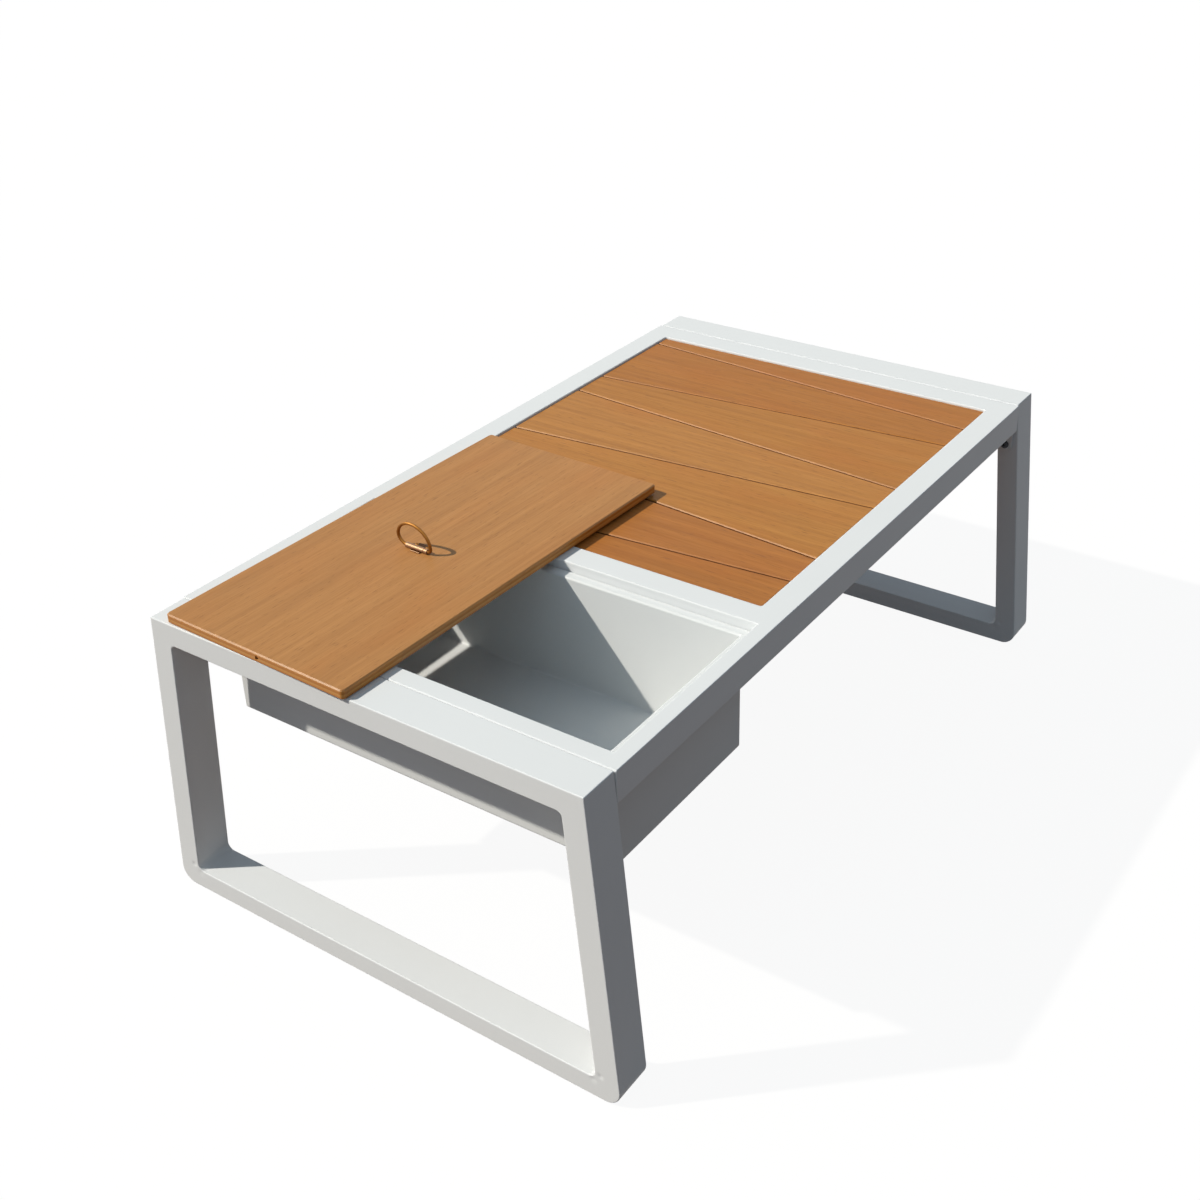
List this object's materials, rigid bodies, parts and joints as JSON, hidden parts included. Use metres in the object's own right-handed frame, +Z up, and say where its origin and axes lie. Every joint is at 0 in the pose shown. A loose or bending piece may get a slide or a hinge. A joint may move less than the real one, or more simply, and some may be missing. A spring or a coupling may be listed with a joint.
{
  "type": "ice bucket coffee table",
  "caption": "Low rectangular patio table on splayed loop legs, with a slatted wooden top and a sunken ice bucket under a loose wooden lid with a ring pull.",
  "frame": {"origin": "on the floor under the middle of the table", "axes": "+X along the table from the bucket end to the slatted end, +Y across it towards the back long side, +Z up"},
  "size_m": [1.1107, 0.6624, 0.4479],
  "materials": {
    "powder_coat": "satin",
    "slat_wood": "oiled",
    "lid_wood": "oiled",
    "bronze": "polished",
    "bolt": "satin black",
    "nut": "zinc plated",
    "glide": "matte"
  },
  "bodies": {
    "table": {"leg_frame_bucket_end": "powder_coat", "leg_frame_slat_end": "powder_coat", "long_rail_front": "powder_coat", "long_rail_back": "powder_coat", "end_rail_bucket_end": "powder_coat", "end_rail_slat_end": "powder_coat", "crossrail": "powder_coat", "corner_ear_bucket_end_front": "powder_coat", "corner_ear_bucket_end_back": "powder_coat", "corner_ear_slat_end_front": "powder_coat", "corner_ear_slat_end_back": "powder_coat", "corner_bolt_bucket_end_front": "bolt", "corner_bolt_bucket_end_back": "bolt", "corner_bolt_slat_end_front": "bolt", "corner_bolt_slat_end_back": "bolt", "corner_nut_bucket_end_front": "nut", "corner_nut_bucket_end_back": "nut", "corner_nut_slat_end_front": "nut", "corner_nut_slat_end_back": "nut", "glide_bucket_end_front": "glide", "glide_bucket_end_back": "glide", "glide_slat_end_front": "glide", "glide_slat_end_back": "glide", "slat_surround": "powder_coat", "slat_bearer": "powder_coat", "slat_1": "slat_wood", "slat_2": "slat_wood", "slat_3": "slat_wood", "slat_4": "slat_wood", "slat_5": "slat_wood", "slat_6": "slat_wood", "slat_7": "slat_wood", "tub": "powder_coat", "ledge_front": "powder_coat", "ledge_back": "powder_coat", "ledge_bucket_end": "powder_coat", "ledge_crossrail": "powder_coat"},
    "lid": {"lid": "lid_wood", "pull_leaf": "bronze", "pull_screw_1": "bronze", "pull_screw_2": "bronze"},
    "ring": {"pull_ring": "bronze"}
  },
  "joints": [
    {"name": "lid_lift", "type": "slide", "parent": "table", "child": "lid", "axis": [0, 0, 1], "range_m": [0, 0.25]},
    {"name": "ring_fold", "type": "hinge", "parent": "lid", "child": "ring", "pos_m": [-0.29024, 0.13238, 0.4106], "axis": [0.0253, 0.9997, 0], "range_deg": [-84, 99.5]}
  ]
}
